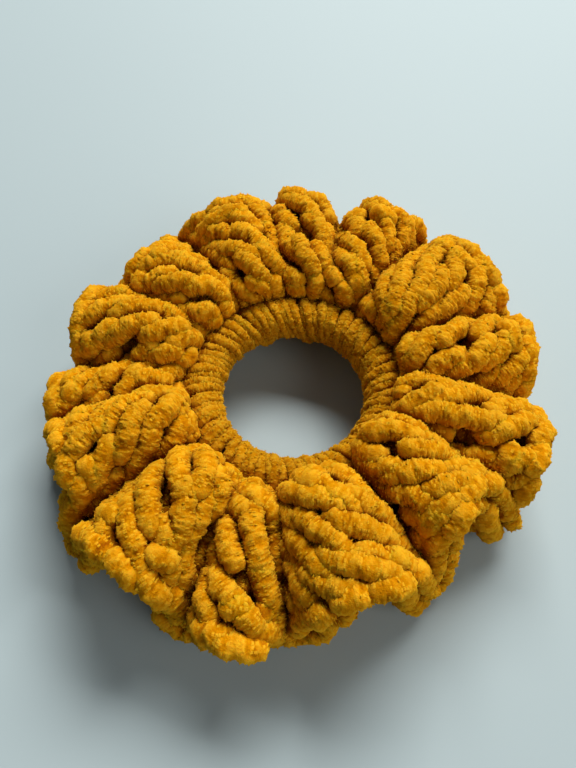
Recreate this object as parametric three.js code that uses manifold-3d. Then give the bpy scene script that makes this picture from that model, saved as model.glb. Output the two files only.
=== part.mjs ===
// A crocheted hair scrunchie. A hair elastic runs inside a tight base round of chenille
// yarn, a wide ruffle grows outward from the base round and gathers into folds, and a
// last round of the same yarn edges every fold. The ring is divided at the valleys
// between the folds, so that the sections can move apart when the elastic is stretched.
// Millimetres, +Z up, origin on the ring's axis in the surface that the ruffle rests on.

import * as THREE from 'three';
import { mergeVertices } from 'three/addons/utils/BufferGeometryUtils.js';
import Module from 'manifold-3d';

const wasm = await Module();
wasm.setup();

// Driving dimensions
const elasticRingDiameter = 43; // to the middle of the cord
const elasticDiameter = 4;
const baseRoundDiameter = 10; // the yarn wrapped round the elastic
const ruffleReach = 55; // from the ring's axis to the outside of the edge round
const ruffleHeight = 27.5; // lying flat, lowest fold to highest fold
const ruffleRootHeight = 9; // where the ruffle leaves the base round
const edgeYarnDiameter = 5;
const scallopDepth = 3.5; // how far the end of a fold bulges out past its corners
const footShare = 0.3; // of a fold's length, curving up at each end of its underside
const shoulderDrop = 6; // from the crest of a fold down to its sides
const tailDiameter = 3; // a woven-in yarn end, pulled tight
const tailShown = 11; // the length of it that lies on the underside of the base round

// Clearances
const elasticClearance = 0.3; // elastic to the bore of its cover
const stitchGap = 0.35; // between solids that touch each other in the real ruffle
const sectionGap = 0.5; // between neighbouring sections of the ring

// The gathers aren't even: each number is one fold's share of the ring, going
// anticlockwise from the seam where the rounds of crochet were joined.
const seamAngle = 94; // degrees from +X
const foldShares = [28, 24, 26, 15, 28, 31, 18, 36, 31, 29, 21, 34, 20, 19];

// Values that follow from them
const ringRadius = elasticRingDiameter / 2;
const elasticRadius = elasticDiameter / 2;
const baseRadius = baseRoundDiameter / 2;
const edgeRadius = edgeYarnDiameter / 2;
const tailRadius = tailDiameter / 2;
const bandHeight = ruffleHeight / 2; // the ruffle hangs as far down as it stands up
const boreRadius = elasticRadius + elasticClearance;
const rootRadius = ringRadius + baseRadius + stitchGap;
const foldEnd = ruffleReach - edgeYarnDiameter - stitchGap;
const footInset = footShare * (foldEnd - rootRadius);

const degrees = THREE.MathUtils.degToRad;

const materials = {
  elastic: () => new THREE.MeshStandardMaterial({ color: '#3a2a10', roughness: 0.7, metalness: 0 }),
  base: () => new THREE.MeshStandardMaterial({ color: '#c88600', roughness: 0.95, metalness: 0 }),
  ruffle: () => new THREE.MeshStandardMaterial({ color: '#d79000', roughness: 1, metalness: 0 }),
  edge: () => new THREE.MeshStandardMaterial({ color: '#f0aa1c', roughness: 1, metalness: 0 }),
  tail: () => new THREE.MeshStandardMaterial({ color: '#b87a00', roughness: 1, metalness: 0 }),
};

// Solids

function toManifold(geometry) {
  const bare = geometry.clone();
  bare.deleteAttribute('normal');
  bare.deleteAttribute('uv');
  const merged = mergeVertices(bare);
  return new wasm.Manifold(new wasm.Mesh({
    numProp: 3,
    vertProperties: merged.getAttribute('position').array,
    triVerts: Uint32Array.from(merged.getIndex().array),
  }));
}

function fromManifold(solid) {
  const mesh = solid.getMesh();
  const geometry = new THREE.BufferGeometry();
  geometry.setAttribute('position', new THREE.BufferAttribute(mesh.vertProperties, 3));
  geometry.setIndex(new THREE.BufferAttribute(mesh.triVerts, 1));
  geometry.computeVertexNormals();
  return geometry;
}

function roundSection(radius, sides, bore = 0) {
  const section = new THREE.Shape();
  section.absarc(0, 0, radius, 0, 2 * Math.PI, false);
  if (bore > 0) {
    const hole = new THREE.Path();
    hole.absarc(0, 0, bore, 0, 2 * Math.PI, true);
    section.holes.push(hole);
  }
  return { section, curveSegments: sides / 2 };
}

function tubeAlong(path, { section, curveSegments }, steps) {
  return new THREE.ExtrudeGeometry(section, { steps, curveSegments, extrudePath: path });
}

// An arc of the ring between two angles, each end drawn back by half the section gap.
class RingArc extends THREE.Curve {
  constructor(radius, height, halfSpan) {
    super();
    this.radius = radius;
    this.height = height;
    this.half = halfSpan - sectionGap / 2 / radius;
  }

  getPoint(t, target = new THREE.Vector3()) {
    const angle = THREE.MathUtils.lerp(-this.half, this.half, t);
    return target.set(this.radius * Math.cos(angle), this.radius * Math.sin(angle), this.height);
  }
}

// The edge round climbs one side of a fold's end, goes round its crest and down again.
class EdgeArch extends THREE.Curve {
  constructor(halfSpan) {
    super();
    this.cornerY = foldCorner(halfSpan).y;
    const besideSeam = (edgeRadius + sectionGap) / Math.cos(halfSpan);
    this.halfWidth = (ruffleReach - scallopDepth - edgeRadius) * Math.tan(halfSpan) - besideSeam;
    this.low = edgeRadius / 2;
    this.high = ruffleHeight - edgeRadius;
    this.crestRise = Math.min(this.halfWidth, this.high - this.low);
  }

  getPoint(t, target = new THREE.Vector3()) {
    const leg = this.high - this.low - this.crestRise;
    const crest = Math.PI * this.crestRise;
    const along = t * (2 * leg + crest);
    const turn = THREE.MathUtils.clamp((along - leg) / crest, 0, 1) * Math.PI - Math.PI / 2;
    const legLeft = Math.max(leg - along, along - leg - crest, 0);
    const y = this.halfWidth * Math.sin(turn);
    const z = this.low + leg - legLeft + this.crestRise * Math.cos(turn);
    const slope = 2 * scallopDepth * y / this.cornerY ** 2;
    const clear = (edgeRadius + stitchGap) * Math.hypot(1, slope);
    const x = foldEnd - scallopDepth * (y / this.cornerY) ** 2 + clear;
    return target.set(x, y, z);
  }
}

// A point on the side of a section, half the section gap inside the valley's plane.
function besideValley(radius, halfSpan) {
  return new THREE.Vector2(
    radius * Math.cos(halfSpan) + sectionGap / 2 * Math.sin(halfSpan),
    radius * Math.sin(halfSpan) - sectionGap / 2 * Math.cos(halfSpan),
  );
}

function foldCorner(halfSpan) {
  return besideValley((foldEnd - scallopDepth) / Math.cos(halfSpan), halfSpan);
}

// Seen from above: a wedge whose inner side follows the base round and whose end bulges.
function foldPlan(halfSpan) {
  const inner = besideValley(rootRadius, halfSpan);
  const corner = foldCorner(halfSpan);
  const innerAngle = Math.atan2(inner.y, inner.x);
  const plan = new THREE.Shape();
  plan.absarc(0, 0, inner.length(), innerAngle, -innerAngle, true);
  plan.lineTo(corner.x, -corner.y);
  plan.quadraticCurveTo(2 * foldEnd - corner.x, 0, corner.x, corner.y);
  plan.closePath();
  return plan;
}

// Seen from the side: low at the base round, full height outside, flat underneath.
function foldSide() {
  const low = bandHeight - ruffleRootHeight / 2;
  const high = bandHeight + ruffleRootHeight / 2;
  const inside = 0.8 * rootRadius; // short of the wedge's inner side, so the plan trims it
  const outside = foldEnd + 1; // and past its outer end
  const crest = (rootRadius + foldEnd) / 2;
  const side = new THREE.Shape();
  side.moveTo(inside, low);
  side.lineTo(rootRadius, low);
  side.quadraticCurveTo(rootRadius + footInset / 3, 0, rootRadius + footInset, 0);
  side.lineTo(foldEnd - footInset, 0);
  side.quadraticCurveTo(foldEnd, 0, outside, low);
  side.lineTo(outside, high);
  side.quadraticCurveTo(foldEnd - 1, ruffleHeight - 1, crest, ruffleHeight);
  side.quadraticCurveTo(rootRadius + 1, ruffleHeight - 1, rootRadius, high);
  side.lineTo(inside, high);
  side.closePath();
  return side;
}

// Seen from the end: straight sides and a crest that rounds over into the valleys.
function foldFront(halfSpan) {
  const half = foldCorner(halfSpan).y + 1;
  const shoulder = ruffleHeight - shoulderDrop;
  const front = new THREE.Shape();
  front.moveTo(-half, -1);
  front.lineTo(half, -1);
  front.lineTo(half, shoulder);
  front.quadraticCurveTo(half / 2, ruffleHeight, 0, ruffleHeight);
  front.quadraticCurveTo(-half / 2, ruffleHeight, -half, shoulder);
  front.closePath();
  return front;
}

function extruded(shape, depth, curveSegments) {
  return new THREE.ExtrudeGeometry(shape, { depth, bevelEnabled: false, curveSegments });
}

function foldGeometry(halfSpan) {
  const width = 2 * foldEnd;
  const plan = extruded(foldPlan(halfSpan), ruffleHeight + 2, 6).translate(0, 0, -1);
  const side = extruded(foldSide(), width, 4).rotateX(Math.PI / 2).translate(0, foldEnd, 0);
  const front = extruded(foldFront(halfSpan), width, 4);
  front.rotateX(Math.PI / 2).rotateZ(Math.PI / 2);
  const solid = toManifold(plan).intersect(toManifold(side)).intersect(toManifold(front));
  return fromManifold(solid);
}

// Pieces of one section of the ring, each made about +X and turned to its place

function addPiece(section, name, geometry, material) {
  const mesh = new THREE.Mesh(geometry, material());
  mesh.name = name;
  section.add(mesh);
  return mesh;
}

function ringSection(number, middle, span) {
  const half = span / 2;
  const id = String(number).padStart(2, '0');
  const section = new THREE.Group();
  section.rotation.z = middle;
  const bandArc = new RingArc(ringRadius, bandHeight, half);
  const elastic = tubeAlong(bandArc, roundSection(elasticRadius, 8), 4);
  const base = tubeAlong(bandArc, roundSection(baseRadius, 12, boreRadius), 4);
  const edge = tubeAlong(new EdgeArch(half), roundSection(edgeRadius, 8), 10);
  addPiece(section, `elastic_${id}`, elastic, materials.elastic);
  addPiece(section, `base_round_${id}`, base, materials.base);
  addPiece(section, `ruffle_fold_${id}`, foldGeometry(half), materials.ruffle);
  addPiece(section, `edge_round_${id}`, edge, materials.edge);
  return section;
}

// A woven-in yarn end on the underside of the base round, beside the seam.
function yarnTail(name, side) {
  const height = bandHeight - baseRadius - tailRadius - stitchGap;
  const halfLength = tailShown / 2 / ringRadius;
  const tail = new THREE.Group();
  const arc = new RingArc(ringRadius, height, halfLength);
  addPiece(tail, name, tubeAlong(arc, roundSection(tailRadius, 8), 4), materials.tail);
  tail.rotation.z = degrees(seamAngle) + side * halfLength;
  return tail;
}

const scrunchie = new THREE.Group();
const shareTotal = foldShares.reduce((sum, share) => sum + share, 0);
let start = degrees(seamAngle);
foldShares.forEach((share, index) => {
  const span = 2 * Math.PI * share / shareTotal;
  scrunchie.add(ringSection(index + 1, start + span / 2, span));
  start += span;
});
scrunchie.add(yarnTail('yarn_tail_start', 1));
scrunchie.add(yarnTail('yarn_tail_end', -1));

export default scrunchie;
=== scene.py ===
"""A crocheted scrunchie in chenille yarn: every strand of its three rounds of crochet is
modelled, worked round the hair elastic that the CAD frame holds. Lengths are in metres
unless a name or a comment says millimetres."""
import math

import bpy
import numpy as np
from bpy.props import FloatProperty, IntProperty, PointerProperty, StringProperty
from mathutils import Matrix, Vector


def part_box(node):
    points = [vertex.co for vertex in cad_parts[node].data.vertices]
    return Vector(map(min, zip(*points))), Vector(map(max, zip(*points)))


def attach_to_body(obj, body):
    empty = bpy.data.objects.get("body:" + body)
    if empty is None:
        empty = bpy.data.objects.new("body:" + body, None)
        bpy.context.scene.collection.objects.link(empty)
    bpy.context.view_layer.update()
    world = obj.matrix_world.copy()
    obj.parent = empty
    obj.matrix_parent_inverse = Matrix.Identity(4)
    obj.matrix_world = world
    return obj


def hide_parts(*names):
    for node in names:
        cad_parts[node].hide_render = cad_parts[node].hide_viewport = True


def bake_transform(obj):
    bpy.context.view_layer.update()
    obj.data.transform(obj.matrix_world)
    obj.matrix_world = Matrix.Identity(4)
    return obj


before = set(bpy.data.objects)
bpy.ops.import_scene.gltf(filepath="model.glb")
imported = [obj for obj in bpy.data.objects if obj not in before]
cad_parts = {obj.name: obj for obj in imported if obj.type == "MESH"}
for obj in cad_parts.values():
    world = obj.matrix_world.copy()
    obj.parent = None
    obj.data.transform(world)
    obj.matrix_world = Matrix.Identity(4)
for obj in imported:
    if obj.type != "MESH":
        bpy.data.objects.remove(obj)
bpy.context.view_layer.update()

bl_info = {
    "name": "Crocheted scrunchie",
    "version": (1, 0, 0),
    "blender": (4, 5, 0),
    "location": "View3D > Sidebar > Scrunchie",
    "description": "Builds a crocheted scrunchie in chenille yarn, strand by strand",
    "category": "Add Mesh",
}

MM = 0.001
SEED = 7
PILE_GRAIN = 0.30 * MM      # between one ring of points and the next along a strand
TUFT_LOW = 0.15 * MM        # how far the least and the greatest tufts stand out
TUFT_HIGH = 0.50 * MM
TIP_PILE = 1.6              # over 1, so that the tips keep the painted lit colour and the painted shade of creases leaves them alone
RUFFLE_SIDES = 18           # corners round a strand
BAND_SIDES = 14
TAIL_SIDES = 12
CORD_SIDES = 16


# ---------------------------------------------------------------- the frame's own sizes

def cad_vertices(node):
    """A CAD node's corners, one row each."""
    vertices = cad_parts[node].data.vertices
    flat = np.empty(len(vertices) * 3)
    vertices.foreach_get("co", flat)
    return flat.reshape(-1, 3)


def wrapped(angle):
    """The same angle between half a turn back and half a turn on."""
    return (angle + math.pi) % (2 * math.pi) - math.pi


def section_ends(number):
    """The angles where a section of the ring starts and ends, from its elastic."""
    x, y, _ = cad_vertices(f"elastic_{number:02d}").T
    middle = math.atan2(y.mean(), x.mean())
    turned = wrapped(np.arctan2(y, x) - middle)
    return middle + turned.min(), middle + turned.max()


SECTIONS = sum(name.startswith("elastic_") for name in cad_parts)
ENDS = [section_ends(i + 1) for i in range(SECTIONS)]
# Valley i lies between fold i - 1 and fold i; the seam is valley 0 and the last one.
SEAM = ENDS[0][0] + wrapped(ENDS[-1][1] - ENDS[0][0]) / 2
VALLEYS = [SEAM]
for index in range(SECTIONS - 1):
    stop, start = ENDS[index][1], ENDS[index + 1][0]
    between = stop + wrapped(start - stop) / 2
    VALLEYS.append(VALLEYS[-1] + (between - VALLEYS[-1]) % (2 * math.pi))
VALLEYS.append(SEAM + 2 * math.pi)
VALLEYS = np.array(VALLEYS)
RIDGES = (VALLEYS[:-1] + VALLEYS[1:]) / 2
HALF_SPANS = (VALLEYS[1:] - VALLEYS[:-1]) / 2

_elastic_reach = np.hypot(*cad_vertices("elastic_01")[:, :2].T)
RING_RADIUS = (_elastic_reach.min() + _elastic_reach.max()) / 2
ELASTIC_RADIUS = (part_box("elastic_01")[1].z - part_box("elastic_01")[0].z) / 2
BAND_HEIGHT = (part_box("base_round_01")[1].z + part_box("base_round_01")[0].z) / 2
BAND_RADIUS = (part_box("base_round_01")[1].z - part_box("base_round_01")[0].z) / 2
ROOT_RADIUS = RING_RADIUS + BAND_RADIUS
RIM_RADIUS = max(np.hypot(*cad_vertices(f"edge_round_{i + 1:02d}")[:, :2].T).max()
                 for i in range(SECTIONS))


# ---------------------------------------------------------------- sizes and colours to set

class ScrunchieYarn(bpy.types.PropertyGroup):
    """The chenille yarn: how thick it is, and how its pile stands."""
    radius: FloatProperty(
        name="Strand radius", description="Half the yarn's thickness over its pile",
        default=2.45 * MM, subtype="DISTANCE", unit="LENGTH")
    tuft_pitch: FloatProperty(
        name="Tuft pitch", description="From one ring of pile to the next along the yarn",
        default=1.15 * MM, subtype="DISTANCE", unit="LENGTH")
    tuft_depth: FloatProperty(
        name="Tuft depth", description="Depth of the groove between two rings of pile",
        default=0.022, min=0, max=0.4, subtype="FACTOR")
    # Painted light and shade: the pile's colour runs from the lit colour, on pile that stands out,
    # through the body colour, to a darker colour painted into the grooves between tufts.
    lit: StringProperty(
        name="Pile tips", description="sRGB hex of the tips of the pile", default="#EBAC1F")
    middle: StringProperty(
        name="Pile", description="sRGB hex of the body of the pile", default="#D68C00")
    # Painted shade: the colour of the grooves between tufts and of the hollows in the pile.
    groove_shade: StringProperty(
        # Painted shade: the dark colour painted into creases between strands and between folds.
        name="Pile roots", description="sRGB hex between the tufts", default="#9C5200")
    crease_shade: StringProperty(
        name="Creases", description="sRGB hex of crushed pile between two strands",
        default="#7A2E00")


class ScrunchieRuffle(bpy.types.PropertyGroup):
    """The ruffle: how its folds rise, bulge and droop."""
    stitch_width: FloatProperty(
        name="Stitch width", description="One stitch of the outer round, along the fabric",
        default=4.9 * MM, subtype="DISTANCE", unit="LENGTH")
    rise: FloatProperty(
        name="Rise", description="Height of a fold's ridge over the band, to mid fabric",
        default=9.4 * MM, subtype="DISTANCE", unit="LENGTH")
    hang: FloatProperty(
        name="Hang", description="How far the fabric hangs under the band in a valley",
        default=8.6 * MM, subtype="DISTANCE", unit="LENGTH")
    droop: FloatProperty(
        name="Droop", description="Share of its rise that a ridge loses again at the rim",
        default=0.42, min=0, max=1, subtype="FACTOR")


class ScrunchieBand(bpy.types.PropertyGroup):
    """The base round over the elastic."""
    wraps: IntProperty(
        name="Wraps", description="Strands that cross the band, all round", default=80)
    slant: FloatProperty(
        name="Slant", description="How far a wrap leans along the band on its way round",
        default=0.14, subtype="ANGLE", unit="ROTATION")


class ScrunchieStage(bpy.types.PropertyGroup):
    """Camera, floor and lights."""
    elevation: FloatProperty(
        name="Elevation", description="Camera angle above the floor",
        default=math.radians(61), subtype="ANGLE", unit="ROTATION")
    distance: FloatProperty(
        name="Distance", description="Camera to the middle of the band",
        default=137 * MM, subtype="DISTANCE", unit="LENGTH")
    lens: FloatProperty(
        name="Lens", description="Focal length in millimetres", default=27.05)
    floor: StringProperty(
        name="Floor", description="sRGB hex of the painted floor", default="#B0C1C7")
    window: FloatProperty(
        name="Window light", description="Power of the light behind the object, in watts",
        default=36.0)
    fill: FloatProperty(
        name="Fill light", description="Power of the light from the room, in watts",
        default=4.5)


# ---------------------------------------------------------------- shape of the ruffle

# No two folds lie the same way. Rise, droop, reach and foot are shares of the usual; push
# is how far the inner end of a fold bulges over the band, in mm; lean turns the rim of a
# ridge round the ring, and twist its inner end, in degrees. Foot and shift belong to the
# valley at the start of the fold: how far out its rim lies, and how far its inner end is
# turned. Loose is how unevenly its stitches are drawn up.
FOLDS = (
    # rise, droop, reach, push, lean, twist, foot, shift, loose
    (1.00, 0.60, 1.03, 0.5, -1.0, -2.0, 1.06, 0.0, 1.0),
    (0.95, 0.75, 0.95, 0.5, 3.0, 0.0, 1.19, 0.0, 1.0),
    (0.95, 0.85, 1.01, 0.5, 0.0, 0.0, 1.02, 0.0, 1.0),
    (0.60, 1.20, 1.03, 0.0, 4.0, 0.0, 0.96, 0.0, 1.0),
    (1.10, 0.45, 0.96, 1.0, 1.0, -4.0, 1.09, -4.0, 1.2),
    (1.10, 0.35, 0.99, 1.0, 0.0, 3.0, 1.13, 0.0, 1.4),
    (0.70, 1.20, 1.03, 0.5, 2.0, -3.0, 1.04, -4.0, 1.3),
    (1.15, 0.20, 0.93, 3.0, 5.0, -4.0, 0.98, -6.0, 1.4),
    (1.20, 0.10, 0.86, 5.0, 2.0, 7.0, 0.98, 5.0, 1.3),
    (1.05, 0.55, 1.02, 3.5, -5.0, 6.0, 1.06, 12.0, 1.2),
    (1.00, 0.75, 1.02, 0.5, 0.0, 0.0, 1.01, 3.0, 1.0),
    (1.05, 0.65, 1.07, 0.5, -3.0, 0.0, 1.09, 0.0, 1.0),
    (0.90, 0.60, 1.08, 0.0, -1.0, 1.0, 1.20, 0.0, 1.0),
    (0.95, 0.60, 1.06, 0.0, 3.0, -2.0, 1.00, 0.0, 1.0),
)


def curve_through(rows, t):
    """Catmull-Rom through rows of values, shaped (knots, samples, parts), at t from 0 to 1;
    past either end it runs straight on."""
    last = len(rows) - 1
    padded = np.concatenate([[2 * rows[0] - rows[1]], rows, [2 * rows[-1] - rows[-2]]])
    at = np.clip(t, 0, 1) * last
    knot = np.minimum(at.astype(int), last - 1)
    f = (at - knot)[:, None]
    pick = np.arange(len(t))
    a, b, c, d = (padded[knot + j, pick] for j in range(4))
    inside = 0.5 * (2 * b + (c - a) * f + (2 * a - 5 * b + 4 * c - d) * f ** 2
                    + (3 * b - a - 3 * c + d) * f ** 3)
    before = (np.minimum(t, 0) * last)[:, None] * (rows[1] - rows[0])
    after = (np.maximum(t - 1, 0) * last)[:, None] * (rows[-1] - rows[-2])
    return inside + before + after


# At its root the fabric leaves the band a little inside its outer edge, and its folds
# already part by a strand's thickness.
ROOT_TUCK = 0.8 * MM
ROOT_LIFT = 1.6 * MM


class Ruffle:
    """The middle surface of the ruffle. A place in it is a column u, counted in stitches
    of the outer round from the seam, and a share v of the way from the root to the rim."""

    def __init__(self, settings, yarn):
        self.settings = settings
        self.yarn_radius = yarn.radius
        shape = np.array(FOLDS).T
        rim = RIM_RADIUS - yarn.radius * 1.6        # the edge round lies outside it
        self.rise = settings.rise * shape[0]
        self.droop = settings.droop * shape[1]
        self.reach = rim * shape[2]
        self.push = shape[3] * MM
        self.lean = np.radians(shape[4])
        self.twist = np.radians(shape[5])
        self.foot = rim * shape[6]
        self.shift = np.radians(shape[7])
        self.loose = shape[8]
        self.columns = []
        self.turns = []
        # Stitches are counted along a line 0.7 of the way out.
        turn = np.linspace(-1, 1, 401)
        for fold in range(SECTIONS):
            line = self._at(np.full_like(turn, fold, dtype=int), turn, np.full_like(turn, 0.7))
            run = np.concatenate([[0], np.cumsum(np.linalg.norm(np.diff(line, axis=0), axis=1))])
            count = 2 * max(2, round(run[-1] / settings.stitch_width / 2))
            self.columns.append(count)
            self.turns.append(np.interp(np.linspace(0, run[-1], count + 1), run, turn))
        self.first = np.concatenate([[0], np.cumsum(self.columns)])
        self.total = int(self.first[-1])
        self.all_turns = np.concatenate(
            [t[:-1] + 2 * i for i, t in enumerate(self.turns)] + [[2 * SECTIONS - 1.0]])

    def fold_of(self, u):
        """The fold a column is in, and where in it: -1 and 1 at its valleys, 0 on its ridge."""
        around = np.mod(u, self.total)
        phase = np.interp(around, np.arange(self.total + 1), self.all_turns) + 1
        fold = np.minimum((phase // 2).astype(int), SECTIONS - 1)
        return fold, phase - 2 * fold - 1

    def _ridge(self, fold, v):
        """Reach and height of a fold's ridge over the band's middle."""
        rise, droop, push = self.rise[fold], self.droop[fold], self.push[fold]
        run = self.reach[fold] - ROOT_RADIUS
        level = np.zeros_like(run)
        rows = np.array([
            (level + ROOT_RADIUS + ROOT_TUCK, level + ROOT_LIFT),
            (ROOT_RADIUS + 0.07 * run - push, 0.82 * rise),
            (ROOT_RADIUS + 0.28 * run - 0.4 * push, 1.06 * rise),
            (ROOT_RADIUS + 0.65 * run, rise * (1 - 0.20 * droop)),
            (ROOT_RADIUS + run, rise * (1 - droop)),
        ])
        return curve_through(rows.transpose(0, 2, 1), v)

    def _valley(self, foot, v):
        """Reach and height of a valley whose rim lies at foot."""
        hang = self.settings.hang
        run = foot - ROOT_RADIUS
        level = np.zeros_like(run)
        rows = np.array([
            (level + ROOT_RADIUS + ROOT_TUCK, level - ROOT_LIFT),
            (ROOT_RADIUS + 0.12 * run, level - 0.85 * hang),
            (ROOT_RADIUS + 0.33 * run, level - hang),
            (ROOT_RADIUS + 0.66 * run, level - hang),
            (ROOT_RADIUS + run, level - 0.95 * hang),
        ])
        return curve_through(rows.transpose(0, 2, 1), v)

    def _at(self, fold, turn, v):
        """Places in the middle surface: turn runs from -1 to 1 over a fold, and v outward."""
        shape = fold.shape
        fold, turn, v = fold.reshape(-1), turn.reshape(-1), np.broadcast_to(v, shape).reshape(-1)
        crest = (0.5 + 0.5 * np.cos(math.pi * turn))[:, None]
        valley = np.where(turn < 0, fold, (fold + 1) % SECTIONS)
        reach, height = (crest * self._ridge(fold, v)
                         + (1 - crest) * self._valley(self.foot[valley], v)).T
        # Ridges are broader than valleys, and the sides between them steep.
        wide, steep = 0.15 * np.clip(v / 0.3, 0, 1), 0.10 * np.clip(v / 0.4, 0, 1)
        spread = turn + wide * np.sin(math.pi * turn) + steep * np.sin(2 * math.pi * turn)
        angle = RIDGES[fold] + HALF_SPANS[fold] * spread
        inner, outer = np.clip(1 - v, 0, 1) ** 2, np.clip(v, 0, 1.1) ** 1.5
        angle = angle + crest[:, 0] * (self.lean[fold] * outer + self.twist[fold] * inner)
        lean = (self.lean[valley] + self.lean[valley - 1]) / 2
        angle = angle + (1 - crest[:, 0]) * (lean * outer + self.shift[valley] * inner)
        place = [reach * np.cos(angle), reach * np.sin(angle), BAND_HEIGHT + height]
        return np.stack(place, axis=-1).reshape(*shape, 3)

    def middle(self, u, v):
        """Places in the middle surface, by column and share of the way out."""
        return self._at(*self.fold_of(u), v)

    def normal(self, u, v):
        """The fabric's upper side, as unit vectors."""
        du, dv = 0.1, 0.01
        along = self.middle(u + du, v) - self.middle(u - du, v)
        out = self.middle(u, v + dv) - self.middle(u, v - dv)
        up = np.cross(out, along)
        return up / np.linalg.norm(up, axis=-1, keepdims=True)

    def place(self, u, v, n):
        """The point n half-thicknesses above the middle surface."""
        du = 0.25
        step = self.middle(u + du, v) - self.middle(u - du, v)
        gap = np.linalg.norm(step, axis=-1) / (2 * du)
        half = np.clip(0.42 * gap, 1.0 * MM, self.yarn_radius * 0.85)
        return self.middle(u, v) + (n * half)[..., None] * self.normal(u, v)

    def spacing(self, u, v, n):
        """The width of one column at a place, along the fabric."""
        du = 0.25
        step = self.place(u + du, v, n) - self.place(u - du, v, n)
        return np.linalg.norm(step, axis=-1) / (2 * du)


# ---------------------------------------------------------------- strands of yarn

def smooth_lines(controls, count):
    """Catmull-Rom curves through rows of points, each with count points evenly spaced."""
    k = controls.shape[1]
    before = 2 * controls[:, :1] - controls[:, 1:2]
    after = 2 * controls[:, -1:] - controls[:, -2:-1]
    ends = np.concatenate([before, controls, after], axis=1)
    t = np.linspace(0, k - 1, (k - 1) * 8 + 1)
    i = np.minimum(t.astype(int), k - 2)
    f = (t - i)[None, :, None]
    a, b, c, d = (ends[:, i + j] for j in range(4))
    dense = 0.5 * (2 * b + (c - a) * f + (2 * a - 5 * b + 4 * c - d) * f ** 2
                   + (3 * b - a - 3 * c + d) * f ** 3)
    step = np.linalg.norm(np.diff(dense[..., :3], axis=1), axis=-1)
    run = np.concatenate([np.zeros((len(dense), 1)), np.cumsum(step, axis=1)], axis=1)
    share = np.linspace(0, 1, count)
    out = np.empty((len(dense), count, dense.shape[2]))
    for row in range(len(dense)):
        at = share * run[row, -1]
        for axis in range(dense.shape[2]):
            out[row, :, axis] = np.interp(at, run[row], dense[row, :, axis])
    return out, run[:, -1]


def strand_axes(centre, up):
    """Unit vectors up and sideways at each point of the strands, square to their run."""
    tangent = np.gradient(centre, axis=1)
    tangent /= np.linalg.norm(tangent, axis=-1, keepdims=True)
    up = up - (up * tangent).sum(-1, keepdims=True) * tangent
    up /= np.maximum(np.linalg.norm(up, axis=-1, keepdims=True), 1e-9)
    return up, np.cross(tangent, up)


def uneven_pile(random, shape):
    """How far the pile stands out or in at each corner, as streaks round the strand and
    small clumps. Dividing by about the root of three keeps their spread near 1."""
    streaks = random.normal(0, 1, shape)
    clumps = random.normal(0, 1, shape)
    for reach in (1, 2):
        streaks = (streaks + np.roll(streaks, reach, 2) + np.roll(streaks, -reach, 2)) / 1.75
    clumps = (clumps + np.roll(clumps, 1, 2) + np.roll(clumps, 1, 1)) / 1.75
    return 0.35 * streaks + clumps


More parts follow.
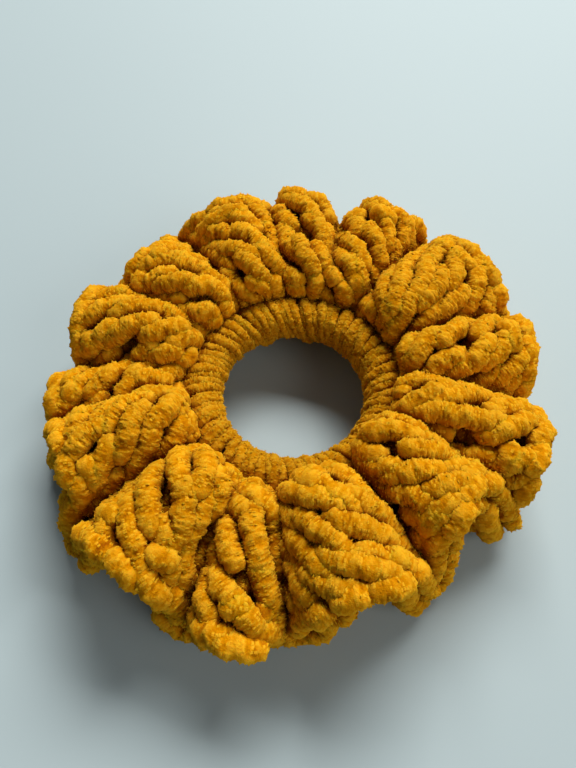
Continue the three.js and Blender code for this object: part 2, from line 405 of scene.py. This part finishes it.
class Strands:
    """Lengths of chenille yarn that go into one mesh, as closed tubes with tufted sides."""

    def __init__(self):
        self.points = []
        self.faces = []
        self.pile = []
        self.tone = []
        self.count = 0

    def add(self, controls, radii, ups, tuft, depth, sides, seed, flat=0.92, fuzz=0.045,
            shag=0.32):
        """Adds strands that run through controls. Controls and ups are (strands, points, 3)
        and radii is (strands, points). Tuft is the pitch of the pile's rings and depth how
        deep the grooves between them are. Flat is a strand's height as a share of its
        width, fuzz how uneven its pile is, as a share of its radius, and shag the share of
        its faces that stand out as tufts."""
        random = np.random.default_rng([SEED, seed])
        strands = len(controls)
        joined = np.concatenate([controls, ups, radii[..., None]], axis=-1)
        rough = np.linalg.norm(np.diff(controls, axis=1), axis=-1).sum(axis=1).mean()
        rings = max(12, int(round(rough / PILE_GRAIN)))
        line, length = smooth_lines(joined, rings)
        centre, up, radius = line[..., :3], line[..., 3:6], line[..., 6]
        up, side = strand_axes(centre, up)
        run = np.linspace(0, 1, rings)[None, :] * length[:, None]
        # Each end is rounded off over nearly a radius, and stops just short of a point.
        cap = np.clip(np.minimum(run, length[:, None] - run) / (0.9 * radius), 0, 1)
        radius = radius * np.sqrt(np.clip(1 - (1 - cap) ** 2, 0, 1)) + 0.02 * MM
        turn = np.arange(sides) / sides * 2 * math.pi
        # The rings of pile wander round the strand, and their pitch drifts over 7 mm.
        phase = random.uniform(0, 2 * math.pi, (4, strands, 1, 1))
        wander = 0.8 * np.sin(turn + phase[0]) + 0.5 * np.sin(2 * turn + phase[1])
        slow = 1.4 * np.sin(2 * math.pi * run[..., None] / (7 * MM) + phase[2])
        tufts = np.abs(np.sin(math.pi * run[..., None] / tuft + wander + slow + phase[2])) ** 0.7
        # Where the stitch squeezes it and lets it go, the yarn has soft lumps.
        lumps = (0.065 * np.sin(2 * math.pi * run[..., None] / (6.5 * MM) + phase[3] + turn)
                 + 0.05 * np.sin(2 * math.pi * run[..., None] / (3.1 * MM) + phase[1] - 2 * turn))
        fibres = fuzz * uneven_pile(random, (strands, rings, sides))
        scale = 1 - depth * (1 - tufts) + lumps + np.clip(fibres, -2.5 * fuzz, 3 * fuzz)
        spread = radius[..., None] * scale
        around = (up[:, :, None] * (np.cos(turn) * flat)[None, None, :, None]
                  + side[:, :, None] * np.sin(turn)[None, None, :, None])
        skin = centre[:, :, None] + spread[..., None] * around
        skin[..., 2] = np.maximum(skin[..., 2], 0)      # pressed flat where it rests
        # Painted shade and light: the colour's level is lower where the surface dips, between tufts
        # and in the hollows of fibres and lumps, and higher where it stands out.
        pile = np.clip(0.58 + 0.06 * tufts + 0.15 * fibres / fuzz + lumps, 0, 1)
        tone = np.broadcast_to(random.uniform(0, 1, (strands, 1, 1)), pile.shape)
        quads, ends = self._tubes(strands, rings, sides)
        self.points.append(skin.reshape(-1, 3))
        self.pile.append(pile.reshape(-1))
        self.tone.append(tone.reshape(-1))
        self.count += pile.size
        # The thin ends of a strand have no tufts.
        thick = radius[:, :-1, None] > 0.5 * radius.max()
        stands = random.random(quads.shape[:3]) < shag * thick
        self.faces.append(quads[~stands])
        self._tufts(quads[stands], around[:, :-1][stands], tone[:, :-1][stands], random)
        self.faces.append(ends)

    def _tubes(self, strands, rings, sides):
        """The corners of every face of a set of tubes: first the sides, shaped (strands,
        rings - 1, sides, 4), then the two ends of each tube."""
        first = self.count + np.arange(strands)[:, None, None] * rings * sides
        ring = np.arange(rings - 1)[None, :, None] * sides
        here = np.arange(sides)
        a, b = first + ring + here, first + ring + (here + 1) % sides
        quads = np.stack([a, b, b + sides, a + sides], axis=-1)
        low = first[:, 0] + here[::-1]
        high = first[:, 0] + (rings - 1) * sides + here
        return quads, np.concatenate([low, high])

    def _tufts(self, quads, out, tone, random):
        """Pulls the middle of each of these faces out to a point, as a tuft of pile that
        stands clear of its neighbours, combed one way or another."""
        count = len(quads)
        points = np.concatenate(self.points)[quads]
        across = np.cross(out, random.normal(0, 1, (count, 3)))
        across /= np.maximum(np.linalg.norm(across, axis=-1, keepdims=True), 1e-9)
        comb = out + across * random.uniform(0, 1.2, (count, 1))
        tip = points.mean(axis=1) + comb * random.uniform(TUFT_LOW, TUFT_HIGH, (count, 1))
        tip[:, 2] = np.maximum(tip[:, 2], 0)
        top = self.count + np.arange(count)
        for corner in range(4):
            beside = quads[:, (corner + 1) % 4]
            self.faces.append(np.stack([quads[:, corner], beside, top], axis=-1))
        self.points.append(tip)
        self.pile.append(np.full(count, TIP_PILE))
        self.tone.append(tone)
        self.count += count

    def piece(self, name, material):
        """Makes the object and gives its material the pile's depth and each strand's tone."""
        mesh = bpy.data.meshes.new(name)
        points = np.concatenate(self.points)
        corners = np.concatenate([f.reshape(-1) for f in self.faces])
        sizes = np.concatenate([np.full(len(f), f.shape[1]) for f in self.faces])
        starts = np.concatenate([[0], np.cumsum(sizes)[:-1]])
        mesh.vertices.add(len(points))
        mesh.vertices.foreach_set("co", points.astype(np.float32).reshape(-1))
        mesh.loops.add(len(corners))
        mesh.loops.foreach_set("vertex_index", corners.astype(np.int32))
        mesh.polygons.add(len(sizes))
        mesh.polygons.foreach_set("loop_start", starts.astype(np.int32))
        mesh.update(calc_edges=True)
        mesh.polygons.foreach_set("use_smooth", np.ones(len(sizes), dtype=bool))
        for label, values in (("pile", self.pile), ("tone", self.tone)):
            layer = mesh.attributes.new(label, "FLOAT", "POINT")
            layer.data.foreach_set("value", np.concatenate(values).astype(np.float32))
        mesh.validate()
        obj = bpy.data.objects.new(name, mesh)
        bpy.context.scene.collection.objects.link(obj)
        obj.data.materials.append(material)
        return obj


# ---------------------------------------------------------------- materials

def linear(hex_colour):
    """An sRGB hex colour as the linear colour that the shader takes."""
    parts = [int(hex_colour[i:i + 2], 16) / 255 for i in (1, 3, 5)]
    light = [c / 12.92 if c <= 0.04045 else ((c + 0.055) / 1.055) ** 2.4 for c in parts]
    return (*light, 1.0)


def node(tree, kind, settings=None, inputs=None):
    """Adds a shader node with its settings. Each input, by its name or number, takes a
    value or is linked to another node's output."""
    made = tree.nodes.new(kind)
    for key, value in (settings or {}).items():
        setattr(made, key, value)
    for key, value in (inputs or {}).items():
        if isinstance(value, bpy.types.NodeSocket):
            tree.links.new(value, made.inputs[key])
        else:
            made.inputs[key].default_value = value
    return made


def chenille(name, yarn, shade=1.0):
    """Polyester chenille yarn: cut pile held in a twisted core. Its colour has painted light and
    shade:
    lighter where the pile stands out, darker between the tufts and in creases, and each copy
    darker or lighter as a whole by shade."""
    material = bpy.data.materials.new(name)
    material.use_nodes = True
    tree = material.node_tree
    shader = tree.nodes["Principled BSDF"]
    pile = node(tree, "ShaderNodeAttribute", {"attribute_name": "pile"}).outputs["Fac"]
    tone = node(tree, "ShaderNodeAttribute", {"attribute_name": "tone"}).outputs["Fac"]
    place = node(tree, "ShaderNodeTexCoord").outputs["Object"]
    # Single fibres are 0.02 mm; their tufts are drawn, 0.55 mm across, so that they show.
    fibres = node(tree, "ShaderNodeTexNoise", inputs={
        "Vector": place, "Scale": 1 / (0.55 * MM), "Detail": 4.0,
        "Roughness": 0.65}).outputs["Fac"]
    # Painted shade in the fibres: the colour is darker where their bump dips and lighter where it
    # rises.
    depth = node(tree, "ShaderNodeMath", {"operation": "MULTIPLY_ADD"},
                 {0: fibres, 1: 0.55, 2: -0.25})
    level = node(tree, "ShaderNodeMath", {"operation": "ADD"}, {0: pile, 1: depth.outputs[0]})
    # The ramp paints shade at its low end and light at its high end.
    ramp = node(tree, "ShaderNodeValToRGB", inputs={"Fac": level.outputs[0]})
    ramp.color_ramp.elements[0].color = linear(yarn.groove_shade)
    ramp.color_ramp.elements[0].position = 0.15
    ramp.color_ramp.elements[1].color = linear(yarn.lit)
    ramp.color_ramp.elements[1].position = 0.95
    middle = ramp.color_ramp.elements.new(0.58)
    middle.color = linear(yarn.middle)
    # Patches where the pile lies one way or the other, about 4 mm across.
    nap = node(tree, "ShaderNodeTexNoise", inputs={
        "Vector": place, "Scale": 1 / (4 * MM), "Detail": 2.0})
    lay = node(tree, "ShaderNodeMath", {"operation": "MULTIPLY"},
               {0: nap.outputs["Fac"], 1: 0.5})
    both = node(tree, "ShaderNodeMath", {"operation": "MULTIPLY_ADD"},
                {0: tone, 1: 0.22, 2: lay.outputs[0]})
    # Shade is painted light or shade: it makes a whole copy of the yarn darker or lighter.
    bright = node(tree, "ShaderNodeMapRange", inputs={
        "Value": both.outputs[0], "From Min": 0.1, "From Max": 0.6,
        "To Min": 0.80 * shade, "To Max": 1.12 * shade})
    colour = node(tree, "ShaderNodeHueSaturation", inputs={
        "Color": ramp.outputs["Color"], "Value": bright.outputs["Result"]})
    # Painted shade: between strands, and far down between folds, where ambient occlusion finds the
    # surface closed in, the colour goes to the dark colour of creases.
    # Ambient occlusion measures how closed in each place is, for the painted shade of creases.
    crease_shade = node(tree, "ShaderNodeAmbientOcclusion", {"samples": 6}, {"Distance": 4 * MM})
    unshaded = node(tree, "ShaderNodeMapRange", inputs={
        "Value": crease_shade.outputs["AO"], "From Min": 0.14, "From Max": 0.74})
    # The tips of the tufts are kept out of this painted shade, and keep their colour.
    clear = node(tree, "ShaderNodeMapRange", inputs={
        "Value": pile, "From Min": 1.0, "From Max": 1.3})
    lit = node(tree, "ShaderNodeMath", {"operation": "MAXIMUM"},
               {0: unshaded.outputs["Result"], 1: clear.outputs["Result"]})
    # A colour mix takes its factor as input 0 and its two colours as 6 and 7.
    mixed = node(tree, "ShaderNodeMix", {"data_type": "RGBA"}, {
        0: lit.outputs[0], 6: linear(yarn.crease_shade), 7: colour.outputs["Color"]})
    tree.links.new(mixed.outputs[2], shader.inputs["Base Color"])
    bump = node(tree, "ShaderNodeBump", inputs={
        "Height": fibres, "Strength": 0.9, "Distance": 0.4 * MM})
    tree.links.new(bump.outputs["Normal"], shader.inputs["Normal"])
    shader.inputs["Roughness"].default_value = 0.95
    shader.inputs["Specular IOR Level"].default_value = 0.04
    # Light goes a little way into the pile, so that shaded sides and creases glow orange.
    shader.inputs["Subsurface Weight"].default_value = 0.35
    shader.inputs["Subsurface Radius"].default_value = (1.0, 0.45, 0.08)
    shader.inputs["Subsurface Scale"].default_value = 1.0 * MM
    shader.inputs["Sheen Weight"].default_value = 0.5
    shader.inputs["Sheen Roughness"].default_value = 0.45
    shader.inputs["Sheen Tint"].default_value = linear("#FFBE30")
    return material


BRAID_PITCH = 0.8 * MM      # from one crossing of the braid to the next


def braided_elastic(name):
    """Hair elastic: rubber strands under a braided polyester cover, satin and dark honey."""
    material = bpy.data.materials.new(name)
    material.use_nodes = True
    tree = material.node_tree
    shader = tree.nodes["Principled BSDF"]
    place = node(tree, "ShaderNodeTexCoord")
    braid = node(tree, "ShaderNodeTexVoronoi", inputs={
        "Vector": place.outputs["Object"], "Scale": 1 / BRAID_PITCH})
    ramp = node(tree, "ShaderNodeValToRGB", inputs={"Fac": braid.outputs["Distance"]})
    ramp.color_ramp.elements[0].color = linear("#7A5418")
    ramp.color_ramp.elements[1].color = linear("#3A240A")
    tree.links.new(ramp.outputs["Color"], shader.inputs["Base Color"])
    bump = node(tree, "ShaderNodeBump", {"invert": True}, {
        "Height": braid.outputs["Distance"], "Strength": 0.5, "Distance": 0.2 * MM})
    tree.links.new(bump.outputs["Normal"], shader.inputs["Normal"])
    shader.inputs["Roughness"].default_value = 0.55
    return material


def painted_floor(name, colour):
    """Smooth painted board: matt, with the faintest unevenness of a roller."""
    material = bpy.data.materials.new(name)
    material.use_nodes = True
    tree = material.node_tree
    shader = tree.nodes["Principled BSDF"]
    shader.inputs["Base Color"].default_value = linear(colour)
    shader.inputs["Roughness"].default_value = 0.6
    shader.inputs["Specular IOR Level"].default_value = 0.3
    place = node(tree, "ShaderNodeTexCoord")
    roller = node(tree, "ShaderNodeTexNoise", inputs={
        "Vector": place.outputs["Object"], "Scale": 1 / (2 * MM), "Detail": 4.0})
    bump = node(tree, "ShaderNodeBump", inputs={
        "Height": roller.outputs["Fac"], "Strength": 0.05, "Distance": 0.1 * MM})
    tree.links.new(bump.outputs["Normal"], shader.inputs["Normal"])
    return material


# ---------------------------------------------------------------- pieces that cross joints


def body(index):
    """The name of the CAD body that carries a fold."""
    return f"section_{index + 1:02d}"


def spans():
    """The pieces of a round: from one ridge to the next, and from the seam to its two
    neighbouring ridges, because no joint crosses the seam. Each is (label, first fold or
    None, second fold or None)."""
    yield "start", None, 0
    for index in range(SECTIONS - 1):
        yield f"{index + 1:02d}_{index + 2:02d}", index, index + 1
    yield "end", SECTIONS - 1, None


def attach(obj, first, second, stands_for):
    """Rides the piece on its body, or, where it joins the ridges of two bodies, bakes its place
    into its mesh.
    """
    for index in (first, second):
        if index is not None:
            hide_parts(f"{stands_for}_{index + 1:02d}")
    if first is None or second is None:
        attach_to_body(obj, body(second if first is None else first))
    else:
        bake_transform(obj)


# ---------------------------------------------------------------- stitches

# The leg of a tall stitch is one thick strand that leans a little as it climbs, tucked
# under its neighbours at both ends. Each row is (across, up, out): across in stitch widths
# from its middle, up as a share of its height, out in half thicknesses of the fabric.
LEG = (
    (-0.62, -0.06, 0.10),
    (-0.50, 0.12, 0.95),
    (-0.18, 0.38, 1.22),
    (0.18, 0.66, 1.25),
    (0.48, 0.92, 0.95),
    (0.58, 1.08, 0.10),
)
# The small knot where a stitch is drawn through the head of another.
HEAD = (
    (-0.45, 0.05, 0.70),
    (-0.20, 0.00, 1.40),
    (0.20, -0.03, 1.45),
    (0.45, 0.00, 0.70),
)
# The two loops on top of a stitch, one in front of the rim and one behind it.
TOP_LOOP = (
    (-0.75, 0.02, 0.45),
    (-0.35, 0.10, 1.10),
    (0.15, 0.13, 1.10),
    (0.75, 0.08, 0.35),
)
THINNEST = 1.35 * MM        # radius of the yarn where the ruffle squeezes it most


class WorkedRound:
    """Lays one strand for every stitch in a round of the ruffle, from low to high as shares
    of the way from the root to the rim."""

    def __init__(self, ruffle, low, high):
        self.ruffle = ruffle
        self.low, self.high = low, high

    def lay(self, strands, columns, shape, side, yarn, seed, fill=0.60, limit=1.0, jitter=0.08):
        """Columns are the middles of the stitches; side is 1 for the upper face of the
        fabric and -1 for the lower. Fill is a strand's radius as a share of its room, limit
        its greatest radius as a share of the yarn's, and jitter how unevenly the stitches
        are drawn up."""
        random = np.random.default_rng([SEED, seed])
        shape = np.array(shape)
        count = len(columns)
        loose = jitter * self.ruffle.loose[self.ruffle.fold_of(columns)[0]][:, None]
        slide, sway, lift, grow, turn, bow = loose * random.normal(0, 1, (6, count, 1))
        longer = 1 + 1.6 * grow
        tilt = 1 + 5 * turn
        bend = 1.8 * bow * np.sin(math.pi * shape[:, 1])
        u = columns[:, None] + (slide + shape[:, 0] * side * tilt + bend)
        up = 0.5 + (shape[:, 1] - 0.5) * longer + sway
        v = self.low + (self.high - self.low) * up
        n = side * shape[:, 2] * (1 + lift)
        points = self.ruffle.place(u, v, n)
        ups = self.ruffle.normal(u, v) * side
        room = self.ruffle.spacing(u, v, n)
        radii = np.clip(fill * room, THINNEST, yarn.radius * limit)
        strands.add(points, radii, ups, yarn.tuft_pitch, yarn.tuft_depth, RUFFLE_SIDES, seed)


def columns_between(ruffle, first, second):
    """The first and last column of a piece that runs from one ridge to the next."""
    def ridge(index):
        return ruffle.first[index] + ruffle.columns[index] // 2

    start = 0 if first is None else ridge(first)
    stop = ruffle.total if second is None else ridge(second)
    return int(start), int(stop)


# ---------------------------------------------------------------- one operator for each group

def settings():
    """The scene's settings: the yarn, the ruffle, the band and the stage."""
    scene = bpy.context.scene
    return tuple(getattr(scene, name) for name, _ in GROUPS)


CORD_POINTS = 24
CORD_LAP = 7 * MM           # past the seam the cord runs on, thinner, inside its other end


class SCRUNCHIE_OT_elastic(bpy.types.Operator):
    """Lays the hair elastic inside the base round"""
    bl_idname = "scrunchie.elastic"
    bl_label = "Hair elastic"

    def execute(self, context):
        material = braided_elastic("braided_hair_elastic")
        overlap = CORD_LAP / RING_RADIUS
        for label, first, second in spans():
            start = SEAM if first is None else RIDGES[first]
            stop = SEAM + 2 * math.pi + overlap if second is None else RIDGES[second]
            angles = np.linspace(start, stop, CORD_POINTS)
            points = np.stack([RING_RADIUS * np.cos(angles), RING_RADIUS * np.sin(angles),
                               np.full_like(angles, BAND_HEIGHT)], axis=-1)[None]
            radius = np.full((1, CORD_POINTS), ELASTIC_RADIUS)
            if second is None:
                radius[0, angles > SEAM + 2 * math.pi] *= 0.8
            strands = Strands()
            up = np.broadcast_to(np.array([0.0, 0.0, 1.0]), points.shape)
            strands.add(points, radius, up, BRAID_PITCH, 0.05, CORD_SIDES, 11,
                        flat=1.0, fuzz=0.004, shag=0)
            obj = strands.piece(f"elastic_cord_{label}", material)
            attach(obj, first, second, "elastic")
        return {"FINISHED"}


# Past the seam a few tighter wraps lie inside the others, and fill the gap that opens
# there when the ring stretches.
HIDDEN_WRAPS = 3
HIDDEN_DEPTH = 0.7 * MM


class SCRUNCHIE_OT_base_round(bpy.types.Operator):
    """Wraps the elastic in the tight base round of single crochet"""
    bl_idname = "scrunchie.base_round"
    bl_label = "Base round"

    def execute(self, context):
        yarn, _, band, _ = settings()
        # Painted shade: the band is the folds' yarn, painted darker for the shade it lies in.
        material = chenille("chenille_yarn_shaded_band", yarn, shade=0.76)
        pitch = 2 * math.pi / band.wraps
        for label, first, second in spans():
            start = SEAM if first is None else RIDGES[first]
            stop = SEAM + 2 * math.pi if second is None else RIDGES[second]
            low = math.ceil((start - SEAM) / pitch - 0.5)
            high = math.ceil((stop - SEAM) / pitch - 0.5)
            hidden = HIDDEN_WRAPS if second is None else 0
            numbers = np.arange(low, high + hidden)
            random = np.random.default_rng([SEED, 40 + low])
            middle = SEAM + (numbers + 0.5) * pitch + random.normal(0, 0.05, len(numbers)) * pitch
            around = np.radians(np.linspace(12, 348, 21))
            lean = band.slant * (1 + random.normal(0, 0.25, (len(numbers), 1)))
            angle = middle[:, None] + lean * np.cos(around / 2)[None, :]
            # Every second or third wrap stands out, where a stitch is pulled up.
            swell = 0.25 * MM * np.cos(2 * math.pi * numbers / 2.5)[:, None]
            strand = 0.68 * pitch * RING_RADIUS
            reach = BAND_RADIUS - strand + swell + random.normal(0, 0.1 * MM, (len(numbers), 1))
            reach[len(numbers) - hidden:] -= HIDDEN_DEPTH
            radial = RING_RADIUS + reach * np.cos(around)[None, :]
            height = BAND_HEIGHT + reach * np.sin(around)[None, :]
            height = np.broadcast_to(height, angle.shape)
            points = np.stack([radial * np.cos(angle), radial * np.sin(angle), height], axis=-1)
            outward = np.cos(around)[None]
            out = np.stack([outward * np.cos(angle), outward * np.sin(angle),
                            np.broadcast_to(np.sin(around), angle.shape)], axis=-1)
            uneven = 1 + random.normal(0, 0.05, (len(numbers), 1))
            radii = np.clip(0.76 * pitch * radial, 1.0 * MM, 1.5 * MM) * uneven
            strands = Strands()
            strands.add(points, radii, out, yarn.tuft_pitch * 0.8, yarn.tuft_depth, BAND_SIDES,
                        60 + low, flat=0.95)
            obj = strands.piece(f"base_round_crochet_{label}", material)
            attach(obj, first, second, "base_round")
        return {"FINISHED"}


class SCRUNCHIE_OT_ruffle(bpy.types.Operator):
    """Works the rows of tall stitches that make the folds"""
    bl_idname = "scrunchie.ruffle"
    bl_label = "Ruffle"

    def execute(self, context):
        yarn, shape, _, _ = settings()
        material = chenille("chenille_yarn", yarn)
        ruffle = Ruffle(shape, yarn)
        # Each row starts under the one inside it, half a stitch along.
        inner = WorkedRound(ruffle, 0.02, 0.31)
        lower = WorkedRound(ruffle, 0.25, 0.55)
        upper = WorkedRound(ruffle, 0.49, 0.79)
        outer = WorkedRound(ruffle, 0.73, 1.0)
        heads = WorkedRound(ruffle, 0.90, 1.0)
        for order, (label, first, second) in enumerate(spans()):
            start, stop = columns_between(ruffle, first, second)
            strands = Strands()
            columns = np.arange(start, stop) + 0.5
            for side in (1, -1):
                seed = 10 * order + side
                inner.lay(strands, columns, LEG, side, yarn, 1000 + seed)
                lower.lay(strands, columns + 0.5, LEG, side, yarn, 2000 + seed)
                upper.lay(strands, columns, LEG, side, yarn, 3000 + seed)
                outer.lay(strands, columns + 0.5, LEG, side, yarn, 7000 + seed, jitter=0.05)
                heads.lay(strands, columns[::2] + 0.5, HEAD, side, yarn, 4000 + seed, fill=0.42)
            obj = strands.piece(f"ruffle_crochet_{label}", material)
            attach(obj, first, second, "ruffle_fold")
        return {"FINISHED"}


class SCRUNCHIE_OT_edge_round(bpy.types.Operator):
    """Works the looped edge along the rim of the ruffle"""
    bl_idname = "scrunchie.edge_round"
    bl_label = "Edge round"

    def execute(self, context):
        yarn, shape, _, _ = settings()
        # Painted light: the edging is the folds' yarn, painted a little lighter.
        material = chenille("chenille_yarn_lit_edging", yarn, shade=1.05)
        ruffle = Ruffle(shape, yarn)
        edge = WorkedRound(ruffle, 0.98, 1.33)
        for order, (label, first, second) in enumerate(spans()):
            start, stop = columns_between(ruffle, first, second)
            strands = Strands()
            columns = np.arange(start, stop) + 0.5
            for side, seed in ((1, 5000), (-1, 6000)):
                edge.lay(strands, columns, TOP_LOOP, side, yarn, seed + order,
                         fill=0.56, limit=1.05, jitter=0.05)
            obj = strands.piece(f"edge_crochet_{label}", material)
            attach(obj, first, second, "edge_round")
        return {"FINISHED"}


TAIL_POINTS = 9


class SCRUNCHIE_OT_yarn_tails(bpy.types.Operator):
    """Weaves the two yarn ends in on the underside of the base round"""
    bl_idname = "scrunchie.yarn_tails"
    bl_label = "Yarn tails"

    def execute(self, context):
        yarn, _, _, _ = settings()
        # Painted shade: the yarn ends are the folds' yarn, painted a little darker.
        material = chenille("chenille_yarn_shaded_end", yarn, shade=0.9)
        for name, index in (("yarn_tail_start", 0), ("yarn_tail_end", SECTIONS - 1)):
            corners = cad_vertices(name)
            past_seam = wrapped(np.arctan2(corners[:, 1], corners[:, 0]) - SEAM)
            low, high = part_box(name)
            angle = SEAM + np.linspace(past_seam.min(), past_seam.max(), TAIL_POINTS)
            weave = 0.5 * MM * np.sin(np.linspace(0, 3 * math.pi, TAIL_POINTS))
            reach = RING_RADIUS + weave
            points = np.stack([reach * np.cos(angle), reach * np.sin(angle),
                               (low.z + high.z) / 2 + weave], axis=-1)[None]
            up = np.broadcast_to(np.array([0.0, 0.0, 1.0]), points.shape)
            strands = Strands()
            radii = np.full((1, TAIL_POINTS), (high.z - low.z) / 2)
            strands.add(points, radii, up, yarn.tuft_pitch, yarn.tuft_depth, TAIL_SIDES, 80 + index)
            obj = strands.piece(f"{name}_woven_in", material)
            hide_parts(name)
            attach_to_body(obj, body(index))
        return {"FINISHED"}


FLOOR_HALF = 1.5


class SCRUNCHIE_OT_stage(bpy.types.Operator):
    """Sets the camera, the floor and the soft light"""
    bl_idname = "scrunchie.stage"
    bl_label = "Stage"

    def execute(self, context):
        _, _, _, stage = settings()
        scene = context.scene
        aim = Vector((-1.3 * MM, 2.4 * MM, BAND_HEIGHT))    # just behind the ring's middle
        camera = bpy.data.objects.new("camera", bpy.data.cameras.new("camera"))
        camera.data.lens = stage.lens
        camera.data.sensor_width = 36.0
        camera.data.clip_start = 0.005
        camera.location = aim + stage.distance * Vector(
            (0, -math.cos(stage.elevation), math.sin(stage.elevation)))
        camera.rotation_euler = (aim - camera.location).to_track_quat("-Z", "Y").to_euler()
        scene.collection.objects.link(camera)
        scene.camera = camera
        mesh = bpy.data.meshes.new("floor")
        corners = [(x * FLOOR_HALF, y * FLOOR_HALF, 0)
                   for x, y in ((-1, -1), (1, -1), (1, 1), (-1, 1))]
        mesh.from_pydata(corners, [], [(0, 1, 2, 3)])
        floor = bpy.data.objects.new("floor", mesh)
        floor.data.materials.append(painted_floor("painted_board", stage.floor))
        scene.collection.objects.link(floor)
        lights = (
            ("window", (0.35, 1.05, 1.15), (1.2, 0.6), stage.window, "#FFFCF6"),
            ("room", (0.85, -0.55, 0.65), (0.7, 0.7), stage.fill, "#FFF8EE"),
        )
        for name, place, size, power, colour in lights:
            data = bpy.data.lights.new(name, "AREA")
            data.shape = "RECTANGLE"
            data.size, data.size_y = size
            data.energy = power
            data.color = linear(colour)[:3]
            light = bpy.data.objects.new(name, data)
            light.location = place
            light.rotation_euler = (aim - light.location).to_track_quat("-Z", "Y").to_euler()
            scene.collection.objects.link(light)
        world = bpy.data.worlds.new("studio")
        world.use_nodes = True
        background = world.node_tree.nodes["Background"]
        background.inputs["Color"].default_value = linear("#DCE9F2")
        background.inputs["Strength"].default_value = 0.10
        scene.world = world
        scene.view_settings.view_transform = "Standard"
        return {"FINISHED"}


class SCRUNCHIE_PT_panel(bpy.types.Panel):
    """Shows the scrunchie's settings and the buttons of its operators"""
    bl_idname = "SCRUNCHIE_PT_panel"
    bl_label = "Scrunchie"
    bl_space_type = "VIEW_3D"
    bl_region_type = "UI"
    bl_category = "Scrunchie"

    def draw(self, context):
        for group in settings():
            for name in group.bl_rna.properties.keys():
                if name not in ("rna_type", "name"):
                    self.layout.prop(group, name)
        for operator in OPERATORS:
            self.layout.operator(operator.bl_idname)


GROUPS = (
    ("scrunchie_yarn", ScrunchieYarn),
    ("scrunchie_ruffle", ScrunchieRuffle),
    ("scrunchie_band", ScrunchieBand),
    ("scrunchie_stage", ScrunchieStage),
)
OPERATORS = (
    SCRUNCHIE_OT_stage,
    SCRUNCHIE_OT_elastic,
    SCRUNCHIE_OT_base_round,
    SCRUNCHIE_OT_ruffle,
    SCRUNCHIE_OT_edge_round,
    SCRUNCHIE_OT_yarn_tails,
)


def register():
    for name, group in GROUPS:
        bpy.utils.register_class(group)
        setattr(bpy.types.Scene, name, PointerProperty(type=group))
    for operator in OPERATORS:
        bpy.utils.register_class(operator)
    bpy.utils.register_class(SCRUNCHIE_PT_panel)


def unregister():
    bpy.utils.unregister_class(SCRUNCHIE_PT_panel)
    for operator in reversed(OPERATORS):
        bpy.utils.unregister_class(operator)
    for name, group in reversed(GROUPS):
        delattr(bpy.types.Scene, name)
        bpy.utils.unregister_class(group)


def main():
    """Builds the scene."""
    register()
    bpy.ops.scrunchie.stage()
    bpy.ops.scrunchie.elastic()
    bpy.ops.scrunchie.base_round()
    bpy.ops.scrunchie.ruffle()
    bpy.ops.scrunchie.edge_round()
    bpy.ops.scrunchie.yarn_tails()


if __name__ == "__main__":
    main()
